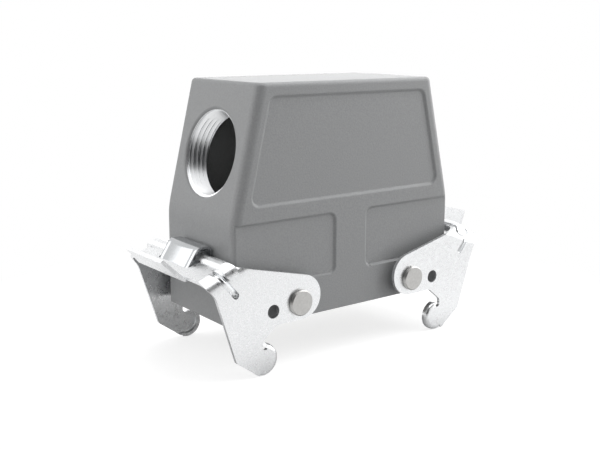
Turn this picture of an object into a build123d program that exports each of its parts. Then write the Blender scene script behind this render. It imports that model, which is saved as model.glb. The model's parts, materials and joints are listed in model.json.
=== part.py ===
from build123d import *
import math
import os

# A heavy duty rectangular connector: a cast cable hood with a side entry, two stamped end levers on
# pivot pins, and a 16-way contact insert inside. Millimetres, +Z up, X along the length (cable entry
# at -X), Y across. The levers are open, and the part stands on their four hook tips at z = 0.

# Hood, outside
hood_length = 94.0
hood_width = 43.0
hood_height = 76.3
shoulder_height = 33.5
top_length = 73.7
top_width = 41.8
corner_radius = 3.2
shoulder_blend = 28.0
top_edge_radius = 1.5

# Hood, inside
wall = 3.3
top_wall = 3.3
cavity_corner = 2.0

# Recessed panels on both long faces, measured up from the rim
panel_depth = 0.8
panel_draft = 30.0
upper_panel_bottom = 38.2
upper_panel_top = 72.2
upper_panel_margin = 6.1
upper_panel_top_margin = 4.0
upper_panel_corner = 3.0
lower_panel_bottom = 12.4
lower_panel_top = 33.2
lower_panel_gap = 13.2
lower_panel_corner = 2.6

# Cable entry, square to the sloping end wall at -X
entry_rise = 20.4
entry_radius = 14.15
entry_depth = 8.6
entry_collar_radius = 17.2
entry_chamfer = 0.7

# Lever pivots and the cast pads round them
pivot_inset = 22.2
pivot_rise = 6.5
pad_radius = 5.8
pad_height = 2.7
pin_radius = 2.5
pin_head_radius = 4.3
pin_head_height = 1.3
pin_head_chamfer = 0.4
rivet_radius = 3.2
rivet_height = 0.7
pin_running_clearance = 0.06
pin_press_clearance = 0.02
rivet_clearance = 0.1
lever_side_clearance = 0.12

# Lever, drawn from its pivot: first number outward from the hood, second number up
sheet = 1.2
lever_bend = 5.0
eye_centre = (-1.0, 1.5)
eye_radius = 7.4
back_edge_slope = 13.5
back_edge_end = 24.0
window_centre = (10.4, -1.2)
window_radius = 2.25
slot_mouth = (9.2, -5.9)
slot_shoulder = (14.7, -10.4)
slot_blend = 2.4
tip_centre = (13.7, -16.7)
tip_radius = 5.3
notch_centre = (13.55, -12.1)
notch_radius = 1.15
heel = (24.4, -15.4)
heel_lead = (17.6, -20.3)
outer_edge_top = (31.5, 6.6)
outer_edge_blend = 7.0
web_corner_blend = 2.0
heel_blend = 2.2
tip_flange_depth = 2.5
tip_flange_bend = 1.6
tip_flange_start = 104.0
tip_flange_end = 294.0

# Lever web, rolled bead, finger lip and corner grooves
web_slope = 21.0
web_crease = (28.6, 14.1)
web_end = 35.1
web_inner_edge = 23.6
web_trim_width = 3.6
web_trim_height = 7.2
bead_centre = (25.7, 14.0)
bead_radius = 2.3
lip_root = (35.6, 10.5)
lip_end = (41.8, 16.9)
lip_root_width = 29.0
lip_end_width = 22.4
lip_corner = 1.2
lip_bend = 1.6
groove_start = 30.3
groove_slope = 40.0
groove_length = 9.2
groove_run_in = 1.5
groove_radius = 1.15
groove_sink = 0.35
groove_wall = 1.1

# Locking spring, a strap bent over the bead and through a slot in the web
spring_thickness = 0.7
spring_width = 18.0
spring_gap = 0.25
spring_crest = 18.3
spring_front = 27.5
spring_foot = (33.1, 9.75)
spring_toe = (31.4, 8.65)
spring_back_end = 10.6
spring_bend = 1.2
spring_toe_bend = 0.8
slot_clearance = 0.35
slot_above_foot = 5.4
slot_below_foot = 1.8

# Contact insert
seat_rise = 20.5
insert_end_inset = 4.75
insert_side_inset = 4.5
flange_thickness = 3.0
flange_corner = 2.0
shroud_end_inset = 11.75
shroud_side_inset = 7.2
shroud_wall = 1.6
shroud_lip = 2.0
shroud_corner = 2.5
block_end_inset = 14.0
block_side_inset = 6.0
block_height = 13.0
block_corner = 1.0
contact_count = 8
contact_end_margin = 5.7
contact_side_margin = 8.0
contact_radius = 1.25
contact_shoulder_radius = 1.9
contact_shoulder_drop = 1.0
contact_clearance = 0.1
contact_reach = 14.0
contact_tail = 11.0
terminal_screw_radius = 1.4
terminal_head_radius = 1.9
terminal_head_height = 1.3
terminal_rise = 8.0
terminal_well = 2.6

# Fixing screws, spring washers and the bosses they meet
fixing_end_inset = 8.25
fixing_side_inset = 8.0
boss_radius = 4.6
boss_height = 14.0
boss_end_skin = 2.0
fixing_radius = 2.0
fixing_head_radius = 3.4
fixing_head_height = 2.6
fixing_reach = 8.5
fixing_hole_clearance = 0.25
tapping_clearance = 0.03
washer_radius = 3.5
washer_thickness = 0.9
washer_split = 0.6
screw_slot_width = 0.9
screw_slot_depth = 0.9

# Earth plates at the two ends of the insert
earth_thickness = 1.2
earth_boss_gap = 1.4
earth_gap = 1.65
earth_leg = 9.0
earth_screw_radius = 1.9
earth_head_radius = 2.9
earth_head_height = 2.0
earth_slot_width = 0.8
earth_slot_depth = 0.8

# Heights and places that follow
rim_z = tip_radius - tip_centre[1] - pivot_rise
pivot_x = hood_length / 2 - pivot_inset
pivot_z = rim_z + pivot_rise
end_slope = math.degrees(math.atan2((hood_length - top_length) / 2, hood_height - shoulder_height))
side_slope = math.degrees(math.atan2((hood_width - top_width) / 2, hood_height))
pad_face = hood_width / 2 + pad_height
lever_inside = pad_face + lever_side_clearance
lever_outside = lever_inside + sheet
seat_z = rim_z + seat_rise
flange_z = seat_z - flange_thickness
block_top = seat_z + block_height
insert_length = hood_length - 2 * insert_end_inset
insert_width = hood_width - 2 * insert_side_inset
shroud_length = hood_length - 2 * shroud_end_inset
shroud_width = hood_width - 2 * shroud_side_inset
block_length = hood_length - 2 * block_end_inset
block_width = hood_width - 2 * block_side_inset
contact_pitch = (block_length - 2 * contact_end_margin) / (contact_count - 1)
contact_row_spacing = block_width - 2 * contact_side_margin
earth_length = (insert_length - block_length) / 2 - earth_gap
earth_width = hood_width - 2 * (fixing_side_inset + boss_radius + earth_boss_gap)
side_plane = Plane(origin=(pivot_x, 0, pivot_z), x_dir=(1, 0, 0), z_dir=(0, -1, 0))


def tapered_block(length, width, top_l, top_w, low, bend, high, blend):
    """A block that is straight to its shoulder and slopes in at both ends above it."""
    end_view = make_face(Polyline(
        (-length / 2, low), (length / 2, low), (length / 2, bend),
        (top_l / 2, high), (-top_l / 2, high), (-length / 2, bend), close=True))
    shoulders = end_view.vertices().group_by(Axis.Y)[1]
    end_view = fillet(shoulders, blend)
    side_view = make_face(Polyline(
        (-width / 2, low), (width / 2, low), (top_w / 2, high), (-top_w / 2, high), close=True))
    along = extrude(Plane.XZ * end_view, hood_width, both=True)
    across = extrude(Plane.YZ * side_view, hood_length, both=True)
    return along & across


def upright_edges(solid):
    """The edges that climb the four corners of a block."""
    return [edge for edge in solid.edges() if edge.bounding_box().size.Z > 0.3]


def hood_shell():
    """The cast hood before its panels, pads and entry: outer block less the cavity."""
    outer = tapered_block(
        hood_length, hood_width, top_length, top_width,
        rim_z, rim_z + shoulder_height, rim_z + hood_height, shoulder_blend)
    outer = fillet(upright_edges(outer), corner_radius)
    outer = fillet(outer.faces().sort_by(Axis.Z)[-1].edges(), top_edge_radius)
    ceiling = rim_z + hood_height - top_wall
    slope = math.tan(math.radians(end_slope))
    inner_top = top_length + 2 * slope * top_wall - 2 * wall
    inner = tapered_block(
        hood_length - 2 * wall, hood_width - 2 * wall, inner_top, top_width - 2 * wall,
        rim_z - wall, rim_z + shoulder_height, ceiling, shoulder_blend)
    inner = fillet(upright_edges(inner), cavity_corner)
    return outer, inner


def long_face_plane(side):
    """The plane of a long face: side is -1 for the front one and 1 for the back one."""
    tilt = math.radians(side_slope)
    return Plane(
        origin=(0, side * hood_width / 2, rim_z), x_dir=(-side, 0, 0),
        z_dir=(0, side * math.cos(tilt), math.sin(tilt)))


def panel_sketches():
    """The three recessed panels of a long face, drawn on that face."""
    panel_low = hood_length / 2 - upper_panel_margin
    panel_high = top_length / 2 - upper_panel_top_margin
    upper = make_face(Polyline(
        (-panel_low, upper_panel_bottom), (panel_low, upper_panel_bottom),
        (panel_high, upper_panel_top), (-panel_high, upper_panel_top), close=True))
    upper = fillet(upper.vertices(), upper_panel_corner)
    near = lower_panel_gap / 2
    far = hood_length / 2 + corner_radius
    middle = (lower_panel_bottom + lower_panel_top) / 2
    tall = lower_panel_top - lower_panel_bottom
    lower = [Pos(sign * (near + far) / 2, middle) * RectangleRounded(
        far - near, tall, lower_panel_corner) for sign in (-1, 1)]
    return [upper] + lower


def entry_plane():
    """The plane of the cable entry, its normal pointing out of the hood."""
    slope = math.radians(end_slope)
    x = -(hood_length / 2 - entry_rise * math.sin(slope))
    z = rim_z + shoulder_height + entry_rise * math.cos(slope)
    return Plane(origin=(x, 0, z), x_dir=(0, 1, 0), z_dir=(-math.cos(slope), 0, math.sin(slope)))


def pivot_planes():
    """One plane for each pivot, at the middle of the hood's width, its normal pointing out."""
    return {
        (end, side): Plane(origin=(end * pivot_x, 0, pivot_z), x_dir=(1, 0, 0), z_dir=(0, side, 0))
        for end in (-1, 1) for side in (-1, 1)}


def fixing_places():
    """The four corners where the insert is screwed to the hood."""
    reach_x = hood_length / 2 - fixing_end_inset
    reach_y = hood_width / 2 - fixing_side_inset
    return [(x * reach_x, y * reach_y) for x in (-1, 1) for y in (-1, 1)]


def hood_housing():
    """The hood with its panels, entry, pivot pads and the bosses for the insert."""
    outer, inner = hood_shell()
    entry = entry_plane()
    bosses = Part()
    for x, y in fixing_places():
        end_x = math.copysign(hood_length / 2 - wall / 2, x)
        side_y = math.copysign(hood_width / 2 - wall / 2, y)
        boss = Pos(x, y) * Circle(boss_radius)
        boss += Pos((x + end_x) / 2, y) * Rectangle(abs(end_x - x), 2 * boss_radius)
        boss += Pos(x, (y + side_y) / 2) * Rectangle(2 * boss_radius, abs(side_y - y))
        bosses += Pos(0, 0, seat_z) * extrude(boss, boss_height)
    collar = entry * Pos(0, 0, -entry_depth / 2) * Cylinder(entry_collar_radius, entry_depth)
    hood = outer - inner + ((bosses + collar) & outer)
    for side in (-1, 1):
        face = long_face_plane(side)
        for panel in panel_sketches():
            hood -= extrude(face * panel, -panel_depth, taper=panel_draft)
    for (end, side), plane in pivot_planes().items():
        middle_of_pad = pad_face - (pad_height + wall / 2) / 2
        hood += plane * Pos(0, 0, middle_of_pad) * Cylinder(pad_radius, pad_height + wall / 2)
        hood -= plane * Pos(0, 0, hood_width / 2) * Cylinder(
            pin_radius + pin_press_clearance, 4 * wall)
    hood -= entry * Cylinder(entry_radius, 4 * entry_depth)
    hood -= entry * Cone(
        entry_radius, entry_radius + 2 * entry_chamfer, 2 * entry_chamfer)
    for x, y in fixing_places():
        hood -= Pos(x, y, seat_z) * extrude(
            Circle(fixing_radius + tapping_clearance), boss_height - boss_end_skin)
    return hood


def pivot_pin(plane):
    """A headed pin: turned head, shank through the lever's eye and the wall, riveted end inside."""
    inside = hood_width / 2 - wall - rivet_clearance
    under_head = lever_outside + lever_side_clearance
    head_top = under_head + pin_head_height
    profile = make_face(Polyline(
        (0, inside - rivet_height), (rivet_radius, inside - rivet_height), (rivet_radius, inside),
        (pin_radius, inside), (pin_radius, under_head), (pin_head_radius, under_head),
        (pin_head_radius, head_top - pin_head_chamfer), (pin_head_radius - pin_head_chamfer, head_top),
        (0, head_top), close=True))
    return plane * revolve(Plane.XZ * profile, Axis.Z)


def lever_outline():
    """The side view of a lever's cheek and web, from its pivot."""
    turn = math.radians(90 + back_edge_slope)
    top_touch = (
        eye_centre[0] + eye_radius * math.cos(turn), eye_centre[1] + eye_radius * math.sin(turn))
    rise = math.tan(math.radians(back_edge_slope)) * (back_edge_end - top_touch[0])
    back_top = (back_edge_end, top_touch[1] + rise)
    above_web = web_crease[1] + 2 * sheet
    slope = math.radians(web_slope)
    web_cut = (web_end - sheet * math.sin(slope), web_crease[1] - (
        web_end - web_crease[0]) * math.tan(slope) - sheet * math.cos(slope))
    wall_low = (slot_shoulder[0], notch_centre[1])
    plate = make_face(Polyline(
        top_touch, back_top, (back_edge_end, above_web), (web_end + sheet, above_web),
        web_cut, outer_edge_top, heel, heel_lead, (tip_centre[0], tip_centre[1] - tip_radius),
        tip_centre, wall_low, slot_shoulder, slot_mouth, (eye_centre[0], slot_mouth[1]), close=True))
    for corner, radius in (
            (heel, heel_blend), (heel_lead, heel_blend),
            (slot_shoulder, slot_blend), (slot_mouth, slot_blend),
            (outer_edge_top, outer_edge_blend), (web_cut, web_corner_blend)):
        plate = fillet(plate.vertices().sort_by_distance(corner)[0], radius)
    plate = plate + Pos(*eye_centre) * Circle(eye_radius)
    plate += Pos(*tip_centre) * Circle(tip_radius)
    plate -= Pos(*notch_centre) * Circle(notch_radius)
    plate -= Pos(*window_centre) * Circle(window_radius)
    plate -= Circle(pin_radius + pin_running_clearance)
    return plate


def slope_plane():
    """A plane square to the web's slope: its x axis runs across, its y axis out of the web."""
    slope = math.radians(web_slope)
    return Plane(
        origin=(pivot_x + web_crease[0], 0, pivot_z + web_crease[1]),
        x_dir=(0, 1, 0), z_dir=(math.cos(slope), 0, -math.sin(slope)))


def channel_fill(half_width, top, bend):
    """The filled section of the bent channel, as one long bar along the web's slope."""
    depth = 4 * tip_radius + pivot_z
    section = Pos(0, top - depth / 2) * Rectangle(2 * half_width, depth)
    upper = section.vertices().sort_by(Axis.Y)[-2:]
    section = fillet(upper, bend)
    return extrude(slope_plane() * section, hood_length, both=True)


def web_strip(points, radius, width):
    """A bent strip of the lever's sheet along points of its middle line, width across."""
    line = FilletPolyline(*points, radius=radius)
    return extrude(side_plane * trace(line, sheet), width / 2, both=True)


def rolled_bead():
    """The rolled bead along the inner edge of the web."""
    roll = Pos(*bead_centre) * Circle(bead_radius)
    return extrude(side_plane * roll, lever_outside, both=True)


def finger_lip():
    """The lip that turns up from the web's outer edge, narrowing to its rounded free edge."""
    slope = math.radians(web_slope)
    start = (web_crease[0], web_crease[1] - sheet / 2 / math.cos(slope))
    strip = web_strip([start, lip_root, lip_end], lip_bend, lip_root_width)
    lean = math.atan2(lip_end[1] - lip_root[1], lip_end[0] - lip_root[0])
    far = pivot_x + lip_end[0] + sheet / 2 * math.sin(lean)
    near = pivot_x + web_crease[0]
    root = pivot_x + lip_root[0]
    plan = make_face(Polyline(
        (near, -lip_root_width / 2), (root, -lip_root_width / 2), (far, -lip_end_width / 2),
        (far, lip_end_width / 2), (root, lip_root_width / 2), (near, lip_root_width / 2), close=True))
    plan = fillet(plan.vertices().sort_by(Axis.X)[-2:], lip_corner)
    return strip & extrude(plan, 3 * pivot_z)


def groove(side, radius):
    """The rod that presses a stiffening groove across the bend between web and cheek."""
    lean = math.radians(groove_slope)
    drop = (groove_start - web_crease[0]) * math.tan(math.radians(web_slope))
    plane = Plane(
        origin=(pivot_x + groove_start, 0, pivot_z + web_crease[1] - drop),
        x_dir=(0, 1, 0), z_dir=(math.cos(lean), 0, -math.sin(lean)))
    reach = lever_outside - groove_sink
    line = plane * FilletPolyline(
        (side * (reach - lever_bend - groove_run_in), -groove_sink), (side * reach, -groove_sink),
        (side * reach, -groove_length), radius=lever_bend)
    rod = sweep(Plane(origin=line @ 0, z_dir=line % 0) * Circle(radius), path=line)
    return rod + Pos(*(line @ 0)) * Sphere(radius) + Pos(*(line @ 1)) * Sphere(radius)


def tip_sector():
    """The sector of a hook's tip, round its middle, where the edge is turned inward."""
    middle = math.radians((tip_flange_start + tip_flange_end) / 2)
    half = math.radians((tip_flange_end - tip_flange_start) / 2)
    rays = [(4 * tip_radius * math.cos(middle + a), 4 * tip_radius * math.sin(middle + a))
            for a in (-half, -half / 2, 0, half / 2, half)]
    return Pos(*tip_centre) * make_face(Polyline((0, 0), *rays, close=True))


def hook_flange(side):
    """The edge of a hook's tip, drawn inward round a bend; also the flat ring that it takes."""
    flat = tip_radius - tip_flange_bend
    inner_bend = tip_flange_bend - sheet
    profile = make_face([
        Line((flat, 0), (flat, -sheet)),
        RadiusArc((flat, -sheet), (flat + inner_bend, -tip_flange_bend), inner_bend),
        Line((flat + inner_bend, -tip_flange_bend), (flat + inner_bend, -tip_flange_depth)),
        Line((flat + inner_bend, -tip_flange_depth), (tip_radius, -tip_flange_depth)),
        Line((tip_radius, -tip_flange_depth), (tip_radius, -tip_flange_bend)),
        RadiusArc((tip_radius, -tip_flange_bend), (flat, 0), -tip_flange_bend)])
    tip = Plane(
        origin=(pivot_x + tip_centre[0], side * lever_outside, pivot_z + tip_centre[1]),
        x_dir=(1, 0, 0), z_dir=(0, side, 0))
    sector = extrude(side_plane * tip_sector(), 2 * hood_width, both=True)
    edge = tip * revolve(Plane.XZ * profile, Axis.Z) & sector
    taken = tip * Pos(0, 0, -sheet / 2) * (
        Cylinder(tip_radius + sheet, sheet) - Cylinder(flat, sheet)) & sector
    return edge, taken


def lever():
    """One stamped lever, at the +X end."""
    channel = channel_fill(lever_outside, 0, lever_bend)
    channel -= channel_fill(lever_inside, -sheet, lever_bend - sheet)
    body = channel & extrude(side_plane * lever_outline(), hood_width, both=True)
    raised = bead_centre[1] + bead_radius - web_crease[1]
    raised += (bead_centre[0] - web_crease[0]) * math.tan(math.radians(web_slope))
    envelope = channel_fill(lever_outside, raised, lever_bend)
    body += rolled_bead() & envelope
    body += finger_lip()
    flush = channel_fill(lever_outside, 0, lever_bend)
    for side in (-1, 1):
        edge, taken = hook_flange(side)
        body = body - taken + edge
        body += groove(side, groove_radius + groove_wall) & flush
        body -= groove(side, groove_radius)
    slot = trace(Line(*spring_slot_line()), spring_thickness + 2 * slot_clearance)
    body -= extrude(side_plane * slot, spring_width / 2 + slot_clearance, both=True)
    body -= inner_trim()
    return body


def inner_trim():
    """The strip trimmed off the web inside the bead, clear of the spring's back leg."""
    trim = Pos(web_inner_edge - web_trim_width / 2, spring_back_end + web_trim_height / 4) * Rectangle(
        web_trim_width, web_trim_height)
    return extrude(side_plane * trim, lever_inside - lever_bend, both=True)


def spring_slot_line():
    """The line that the spring's front leg follows through the web."""
    front = Vector(spring_front, spring_crest)
    foot = Vector(*spring_foot)
    run = (foot - front).normalized()
    return foot - run * slot_above_foot, foot + run * slot_below_foot


def locking_spring():
    """The strap spring of one lever, at the +X end."""
    back = hood_length / 2 - pivot_x + spring_gap + spring_thickness / 2
    line = FilletPolyline(
        (back, spring_back_end), (back, spring_crest), (spring_front, spring_crest),
        spring_foot, spring_toe, radius=(spring_bend, spring_bend, spring_toe_bend))
    return extrude(side_plane * trace(line, spring_thickness), spring_width / 2, both=True)


def contact_places():
    """The middles of the sixteen contacts, row by row."""
    first = -(contact_count - 1) / 2 * contact_pitch
    return [(first + n * contact_pitch, side * contact_row_spacing / 2)
            for side in (-1, 1) for n in range(contact_count)]


def contact_pins():
    """Sixteen turned contacts, each with a pointed nose and a thicker barrel above the flange."""
    nose = flange_z - contact_reach
    tail = seat_z + contact_tail
    profile = make_face(Polyline(
        (0, nose), (contact_radius, nose + contact_radius),
        (contact_radius, flange_z - contact_shoulder_drop),
        (contact_shoulder_radius, flange_z - contact_shoulder_drop),
        (contact_shoulder_radius, tail), (0, tail), close=True))
    contact = revolve(Plane.XZ * profile, Axis.Z)
    return [Pos(x, y, 0) * contact for x, y in contact_places()]


def terminal_screw(x, side):
    """A terminal screw: its head in its well, its tip on the contact's barrel."""
    under = block_width / 2 - terminal_well
    head_face = under + terminal_head_height
    tip = contact_row_spacing / 2 + contact_shoulder_radius + contact_clearance
    profile = make_face(Polyline(
        (0, tip), (terminal_screw_radius, tip), (terminal_screw_radius, under),
        (terminal_head_radius, under), (terminal_head_radius, head_face), (0, head_face), close=True))
    screw = revolve(Plane.XZ * profile, Axis.Z)
    plane = Plane(origin=(x, 0, seat_z + terminal_rise), x_dir=(1, 0, 0), z_dir=(0, side, 0))
    return plane * screw


def terminal_screws():
    """Sixteen terminal screws, one for each contact."""
    return [terminal_screw(x, 1 if y > 0 else -1) for x, y in contact_places()]


def insert_body():
    """The moulded insert: flange, wiring block with its wells, and the shroud round the contacts."""
    flange = Pos(0, 0, flange_z) * extrude(
        RectangleRounded(insert_length, insert_width, flange_corner), flange_thickness)
    block = Pos(0, 0, flange_z) * extrude(
        RectangleRounded(block_length, block_width, block_corner), block_top - flange_z)
    shroud_depth = flange_z - rim_z - shroud_lip
    ring = RectangleRounded(shroud_length, shroud_width, shroud_corner) - RectangleRounded(
        shroud_length - 2 * shroud_wall, shroud_width - 2 * shroud_wall, shroud_corner - shroud_wall)
    shroud = Pos(0, 0, rim_z + shroud_lip) * extrude(ring, shroud_depth)
    body = flange + block + shroud
    wells = [Pos(x, y, flange_z - contact_shoulder_drop) * extrude(
        Circle(contact_shoulder_radius + contact_clearance), block_top) for x, y in contact_places()]
    body -= wells
    deep = (block_width - contact_row_spacing) / 2
    side_wells = []
    for x, y in contact_places():
        plane = Plane(origin=(x, y, seat_z + terminal_rise), x_dir=(1, 0, 0), z_dir=(0, y, 0))
        side_wells.append(plane * Pos(0, 0, deep / 2) * Cylinder(
            terminal_head_radius + contact_clearance, deep))
    body -= side_wells
    for x, y in fixing_places():
        body -= Pos(x, y, seat_z) * Cylinder(
            fixing_radius + fixing_hole_clearance, 4 * flange_thickness)
    return body


def fixing_screw(x, y):
    """A captive screw: cross-slotted head under the flange, thread up in the hood's boss."""
    head_top = flange_z - washer_thickness
    profile = make_face(Polyline(
        (0, head_top - fixing_head_height), (fixing_head_radius, head_top - fixing_head_height),
        (fixing_head_radius, head_top), (fixing_radius, head_top),
        (fixing_radius, seat_z + fixing_reach), (0, seat_z + fixing_reach), close=True))
    screw = revolve(Plane.XZ * profile, Axis.Z)
    slot_low = head_top - fixing_head_height
    screw -= Pos(0, 0, slot_low) * Box(
        2 * fixing_head_radius, screw_slot_width, 2 * screw_slot_depth)
    return Pos(x, y, 0) * screw


def spring_washer(x, y):
    """A split spring washer under a fixing screw's head."""
    ring = Circle(washer_radius) - Circle(fixing_radius + fixing_hole_clearance)
    ring -= Pos(washer_radius, 0) * Rectangle(washer_radius * 2, washer_split)
    return Pos(x, y, flange_z - washer_thickness) * extrude(ring, washer_thickness)


def earth_plate(end):
    """A bent earth plate on the flange's end, between the block and the hood's end wall."""
    outer = insert_length / 2
    inner = outer - earth_length
    flat = Pos((inner + outer) / 2, 0, seat_z + earth_thickness / 2) * Box(
        earth_length, earth_width, earth_thickness)
    leg = Pos(inner + earth_thickness / 2, 0, seat_z + earth_leg / 2) * Box(
        earth_thickness, earth_width, earth_leg)
    plate = flat + leg
    screw_x = inner + earth_thickness + (earth_length - earth_thickness) / 2
    plate -= Pos(screw_x, 0, seat_z) * Cylinder(
        earth_screw_radius + contact_clearance, 4 * earth_thickness)
    return Rot(0, 0, 0 if end > 0 else 180) * plate


def earth_screw(end):
    """The earth terminal screw, its head on the earth plate."""
    inner = insert_length / 2 - earth_length
    screw_x = inner + earth_thickness + (earth_length - earth_thickness) / 2
    under = seat_z + earth_thickness
    profile = make_face(Polyline(
        (0, seat_z), (earth_screw_radius, seat_z), (earth_screw_radius, under),
        (earth_head_radius, under), (earth_head_radius, under + earth_head_height),
        (0, under + earth_head_height), close=True))
    screw = revolve(Plane.XZ * profile, Axis.Z)
    screw -= Pos(0, 0, under + earth_head_height) * Box(
        2 * earth_head_radius, earth_slot_width, 2 * earth_slot_depth)
    return Rot(0, 0, 0 if end > 0 else 180) * (Pos(screw_x, 0, 0) * screw)


def build():
    """Every node, by name."""
    right_lever = lever()
    right_spring = locking_spring()
    nodes = {
        "hood_housing": hood_housing(),
        "lever_right": right_lever,
        "lever_left": mirror(right_lever, about=Plane.YZ),
        "locking_spring_right": right_spring,
        "locking_spring_left": mirror(right_spring, about=Plane.YZ),
        "insert_body": insert_body(),
        "contact_pins": Compound(children=contact_pins()),
        "terminal_screws": Compound(children=terminal_screws()),
    }
    ends = {-1: "left", 1: "right"}
    sides = {-1: "front", 1: "back"}
    for (end, side), plane in pivot_planes().items():
        nodes[f"pivot_pin_{sides[side]}_{ends[end]}"] = pivot_pin(plane)
    for x, y in fixing_places():
        corner = sides[math.copysign(1, y)] + "_" + ends[math.copysign(1, x)]
        nodes["fixing_screw_" + corner] = fixing_screw(x, y)
        nodes["spring_washer_" + corner] = spring_washer(x, y)
    for end, name in ends.items():
        nodes["earth_plate_" + name] = earth_plate(end)
        nodes["earth_screw_" + name] = earth_screw(end)
    return nodes


os.makedirs("parts", exist_ok=True)
for name, shape in build().items():
    export_step(shape, f"parts/{name}.step")
    box = shape.bounding_box()
    print(f"{name:26s} {box.size.X:7.1f} {box.size.Y:7.1f} {box.size.Z:7.1f}")
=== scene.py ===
"""A heavy duty rectangular connector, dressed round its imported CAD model."""

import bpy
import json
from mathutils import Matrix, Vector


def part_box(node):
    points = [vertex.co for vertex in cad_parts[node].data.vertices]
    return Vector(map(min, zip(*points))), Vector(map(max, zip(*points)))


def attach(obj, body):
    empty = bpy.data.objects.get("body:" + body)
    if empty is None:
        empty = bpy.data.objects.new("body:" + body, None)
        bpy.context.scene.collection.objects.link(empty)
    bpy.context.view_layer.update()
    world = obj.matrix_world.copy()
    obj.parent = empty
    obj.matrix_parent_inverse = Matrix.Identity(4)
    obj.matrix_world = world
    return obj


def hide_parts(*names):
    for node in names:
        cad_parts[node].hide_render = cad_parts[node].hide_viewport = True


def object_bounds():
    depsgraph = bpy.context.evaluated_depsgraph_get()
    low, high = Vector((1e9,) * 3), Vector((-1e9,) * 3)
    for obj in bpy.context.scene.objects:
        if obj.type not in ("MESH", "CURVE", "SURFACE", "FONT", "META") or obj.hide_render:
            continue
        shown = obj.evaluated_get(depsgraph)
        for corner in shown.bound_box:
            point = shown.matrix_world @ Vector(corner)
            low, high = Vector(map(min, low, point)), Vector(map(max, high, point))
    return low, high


bl_info = {
    "name": "Rectangular Connector",
    "version": (1, 0, 0),
    "blender": (4, 5, 0),
    "location": "3D View > Sidebar > Connector",
    "description": "Builds a cast connector hood with its locking levers, cable entry and contact insert",
    "category": "Add Mesh",
}

import json
import math

import bmesh
import bpy
from bpy.props import FloatProperty, FloatVectorProperty, IntProperty, PointerProperty
from mathutils import Matrix, Vector

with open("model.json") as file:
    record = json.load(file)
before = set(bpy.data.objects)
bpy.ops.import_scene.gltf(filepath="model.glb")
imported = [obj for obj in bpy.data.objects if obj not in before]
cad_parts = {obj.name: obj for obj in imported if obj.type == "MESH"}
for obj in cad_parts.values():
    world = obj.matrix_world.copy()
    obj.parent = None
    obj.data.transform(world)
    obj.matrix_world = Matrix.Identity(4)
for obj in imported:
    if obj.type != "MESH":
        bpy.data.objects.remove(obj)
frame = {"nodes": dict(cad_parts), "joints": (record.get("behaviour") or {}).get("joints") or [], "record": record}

MM = 0.001
ENDS = {"left": -1, "right": 1}
SIDES = {"front": -1, "back": 1}
HOOD_BODY = "hood"
ROUNDINGS = ("light_rounding", "full_rounding")
NOISE_RANGE = (0.3, 0.7)  # between these lies nearly all of a noise

cad_low, cad_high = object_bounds()
pivots = {joint["child"]: Vector(joint["pos_m"]) for joint in frame["joints"]}
entry_mount = next(m for m in frame["record"]["mounts"] if m["name"] == "cable_entry")


def linear(hex_colour):
    """Turn an sRGB hex colour into the linear values that Blender's sockets take."""
    channels = [int(hex_colour[i:i + 2], 16) / 255 for i in (1, 3, 5)]
    return [c / 12.92 if c <= 0.04045 else ((c + 0.055) / 1.055) ** 2.4 for c in channels]


def colour_property(label, description, hex_colour):
    """A colour that a user can change."""
    return FloatVectorProperty(
        name=label, description=description, subtype="COLOR", size=3, min=0, max=1,
        default=linear(hex_colour))


def length_property(label, description, millimetres):
    """A length that a user can change, given in millimetres and kept in metres."""
    return FloatProperty(
        name=label, description=description, default=millimetres * MM, min=0, precision=5,
        unit="LENGTH", subtype="DISTANCE")


def number_property(label, description, value):
    """A plain number that a user can change."""
    return FloatProperty(name=label, description=description, default=value, min=0)


def angle_property(label, description, degrees):
    """An angle that a user can change, given in degrees and kept in radians."""
    return FloatProperty(
        name=label, description=description, default=math.radians(degrees), subtype="ANGLE",
        unit="ROTATION")


class HoodSettings(bpy.types.PropertyGroup):
    """Sizes and colours of the cast hood."""

    coat: colour_property("Powder coat", "Colour of the hood's powder coat", "#959697")
    edge_round: length_property("Edge rounding", "Radius of the rounding on cast edges", 0.45)
    rounded_above: length_property(
        "Rounded above", "Height above which every cast edge has its full rounding", 37.0)
    rounded_within: length_property(
        "Rounded within", "Distance from the middle within which the lower panels have it too", 10.0)
    panel_foot: length_property("Panel foot", "Height above which the lower panels have it", 22.9)
    panel_side: length_property("Panel side", "Distance from the middle plane beyond which it holds", 17.8)
    grain: length_property("Coat grain", "Distance between the lumps of the powder coat", 0.55)


class EntrySettings(bpy.types.PropertyGroup):
    """Sizes and colours of the threaded cable entry."""

    metal: colour_property("Bare alloy", "Colour of the machined thread", "#EEEFF0")
    pitch: length_property("Thread pitch", "Distance between two ridges of the thread", 1.7)
    ridge: length_property("Ridge height", "How far a ridge stands into the bore", 0.85)
    chamfer: length_property("Chamfer", "Width of the chamfer at the mouth", 0.7)
    lead_in: length_property("Lead-in", "Depth at which the thread's ridge starts", 1.15)
    lip: length_property("Coated lip", "Width of the chamfer that keeps its coat", 0.6)
    liner: length_property("Cut depth", "Thickness of the bare metal round the bore", 0.35)


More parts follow.
